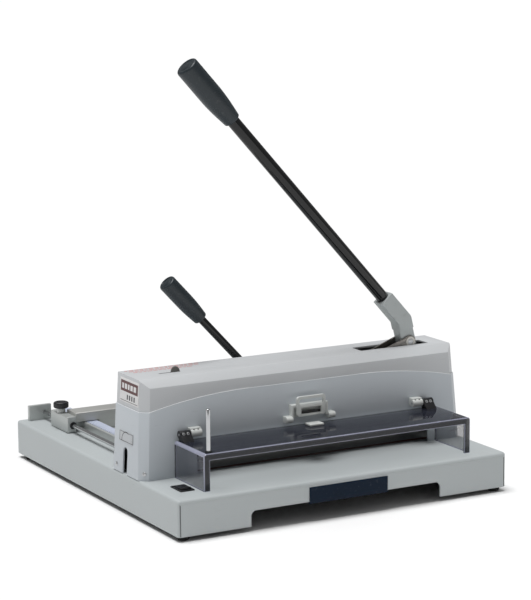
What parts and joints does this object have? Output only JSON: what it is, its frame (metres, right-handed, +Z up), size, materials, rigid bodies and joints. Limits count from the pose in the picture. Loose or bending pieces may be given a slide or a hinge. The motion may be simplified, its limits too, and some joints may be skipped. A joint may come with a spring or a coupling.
{
  "type": "guillotine paper cutter",
  "caption": "Table-top stack guillotine with a hooded cutting head, long hand lever, clamp lever, hinged clear guard and sliding back gauge.",
  "frame": {"origin": "centre of the outline, on the plane that the feet stand on", "axes": "+X to the right along the front edge, +Y to the back, +Z up"},
  "size_m": [0.61, 0.636, 0.7276],
  "materials": {
    "table_paint": "fine textured light grey powder coat",
    "housing_paint": "fine textured grey coat",
    "cover_paint": "fine textured light grey coat",
    "front_grip": "satin dark blue moulding",
    "foot_rubber": "matt black rubber",
    "inner_steel": "blackened steel",
    "bright_steel": "ground steel",
    "bronze": "plain bearing bronze",
    "stick_plastic": "red cutting stick",
    "arm_cast": "grey cast aluminium",
    "tube_black": "gloss black",
    "grip_black": "satin blue-black moulding",
    "guard_smoke": "smoked clear plastic",
    "black_plastic": "black moulding",
    "white_plastic": "satin white moulding",
    "latch_dark": "dark moulding",
    "chrome_rod": "polished",
    "gauge_alu": "light grey satin",
    "ruler_face": "printed scale strip",
    "label_face": "printed foil",
    "tab_grey": "grey moulding"
  },
  "bodies": {
    "frame": {"base_shell": "table_paint", "front_panel": "table_paint", "arch_strip": "table_paint", "front_grip": "front_grip", "bottom_pan": "inner_steel", "feet": "foot_rubber", "foot_brackets": "inner_steel", "table_channels": "inner_steel", "cutting_stick": "stick_plastic", "lower_housing": "housing_paint", "housing_ends": "housing_paint", "upper_cover": "cover_paint", "rear_cover": "housing_paint", "end_labels": "label_face", "cover_screws": "bright_steel", "side_frames": "inner_steel", "guide_beam": "inner_steel", "rear_beam": "inner_steel", "shaft_bushes": "bronze", "lever_spring": "bright_steel", "clamp_guides": "inner_steel", "clamp_springs": "bright_steel", "hinge_blocks": "white_plastic", "hinge_pins": "bright_steel", "latch_frame": "white_plastic", "switch_bezel": "black_plastic", "line_lamp": "black_plastic", "side_lay": "gauge_alu", "ruler_strip": "ruler_face", "rod_brackets": "gauge_alu", "gauge_rod": "chrome_rod"},
    "main_lever": {"lever_arm": "arm_cast", "lever_axle": "bright_steel", "link_pin": "bright_steel", "lever_tube": "tube_black", "lever_grip": "grip_black"},
    "link": {"link_plates": "bright_steel"},
    "carrier": {"blade_carrier": "inner_steel", "blade": "bright_steel", "blade_bolts": "inner_steel", "guide_blocks": "inner_steel"},
    "clamp_lever": {"clamp_shaft": "bright_steel", "clamp_crank": "inner_steel", "clamp_hub": "arm_cast", "clamp_rod": "tube_black", "clamp_grip": "grip_black"},
    "clamp": {"clamp_bar": "inner_steel", "clamp_riser": "inner_steel", "clamp_rods": "inner_steel"},
    "guard": {"guard_panel": "guard_smoke", "guard_arms": "black_plastic", "lift_rod": "chrome_rod", "guard_tongue": "white_plastic"},
    "gauge": {"gauge_block": "gauge_alu", "gauge_bar": "gauge_alu"},
    "knob": {"gauge_knob": "black_plastic"},
    "rocker": {"switch_rocker": "black_plastic"},
    "lock": {"lock_tab": "tab_grey"},
    "latch": {"latch_handle": "white_plastic", "latch_bolt": "latch_dark"}
  },
  "joints": [
    {"name": "lever_turn", "type": "hinge", "parent": "frame", "child": "main_lever", "pos_m": [0.2466, -0.1275, 0.153], "axis": [0, -1, 0], "range_deg": [0, 33], "stiffness_Nm_per_rad": 3, "springref_deg": -143.24},
    {"name": "link_turn", "type": "hinge", "parent": "main_lever", "child": "link", "pos_m": [0.2275, -0.1275, 0.232], "axis": [0, -1, 0], "range_deg": [-24.3, 0]},
    {"name": "carrier_slide", "type": "slide", "parent": "frame", "child": "carrier", "axis": [-0.5997, 0, -0.8002], "range_m": [0, 0.05238]},
    {"name": "clamp_turn", "type": "hinge", "parent": "frame", "child": "clamp_lever", "pos_m": [0.016, -0.062, 0.137], "axis": [0, -1, 0], "range_deg": [-28, 13]},
    {"name": "clamp_slide", "type": "slide", "parent": "frame", "child": "clamp", "axis": [0, 0, 1], "range_m": [-0.0123, 0.0264], "stiffness_N_per_m": 400, "springref_m": 0.08, "deforming": ["clamp_springs"]},
    {"name": "guard_lift", "type": "hinge", "parent": "frame", "child": "guard", "pos_m": [0, -0.1914, 0.1375], "axis": [-1, 0, 0], "range_deg": [0, 85]},
    {"name": "gauge_slide", "type": "slide", "parent": "frame", "child": "gauge", "axis": [0, 1, 0], "range_m": [-0.245, 0.048]},
    {"name": "knob_turn", "type": "hinge", "parent": "gauge", "child": "knob", "pos_m": [-0.2615, 0.221, 0.1032], "axis": [0, 0, 1], "range_deg": [0, 270]},
    {"name": "rocker_turn", "type": "hinge", "parent": "frame", "child": "rocker", "pos_m": [-0.265, -0.253, 0.068], "axis": [1, 0, 0], "range_deg": [0, 12]},
    {"name": "lock_slide", "type": "slide", "parent": "frame", "child": "lock", "axis": [-1, 0, 0], "range_m": [0, 0.018]},
    {"name": "latch_slide", "type": "slide", "parent": "frame", "child": "latch", "axis": [0, 0, 1], "range_m": [0, 0.006], "stiffness_N_per_m": 200, "springref_m": -0.004}
  ],
  "couplings": [
    {"joint": "link_turn", "follows": "lever_turn", "ratio": -0.73485},
    {"joint": "carrier_slide", "follows": "lever_turn", "m_per_rad": 0.090909},
    {"joint": "clamp_slide", "follows": "clamp_turn", "m_per_rad": -0.0537}
  ]
}
